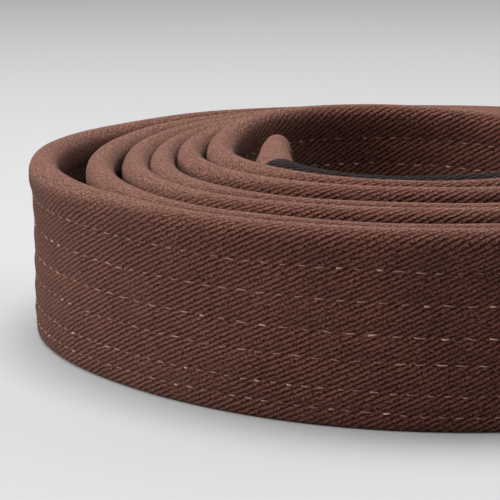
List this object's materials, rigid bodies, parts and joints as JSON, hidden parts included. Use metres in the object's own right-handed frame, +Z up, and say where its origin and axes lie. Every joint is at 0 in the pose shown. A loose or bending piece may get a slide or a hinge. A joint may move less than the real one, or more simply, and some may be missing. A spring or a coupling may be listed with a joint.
{
  "type": "martial arts belt",
  "caption": "Brown cotton twill martial arts belt rolled into a standing coil, with six stitch rows and a black rank bar near its inner end.",
  "frame": {"origin": "on the surface that the coil stands on, under the middle of the coil's outline", "axes": "+Z up, along the belt's width and the coil's axis; -Y is the side shown to the viewer, where the rank bar lies inside the coil; +X to the viewer's right"},
  "size_m": [0.1775, 0.1668, 0.0406],
  "materials": {
    "brown_twill": "woven cotton twill, brushed, matt with a soft nap",
    "core_cotton": "undyed cotton canvas",
    "brown_thread": "spun polyester thread, slightly lighter than the cloth",
    "black_twill": "woven cotton twill",
    "black_thread": "spun polyester thread"
  },
  "bodies": {
    "root": {"cover": "brown_twill", "core_ply_inner": "core_cotton", "core_ply_middle": "core_cotton", "core_ply_outer": "core_cotton", "stitch_row_1": "brown_thread", "stitch_row_2": "brown_thread", "stitch_row_3": "brown_thread", "stitch_row_4": "brown_thread", "stitch_row_5": "brown_thread", "stitch_row_6": "brown_thread", "inner_end_stitch": "brown_thread", "outer_end_stitch": "brown_thread", "rank_bar": "black_twill", "rank_bar_stitch_tip_side": "black_thread", "rank_bar_stitch_coil_side": "black_thread"}
  },
  "joints": []
}
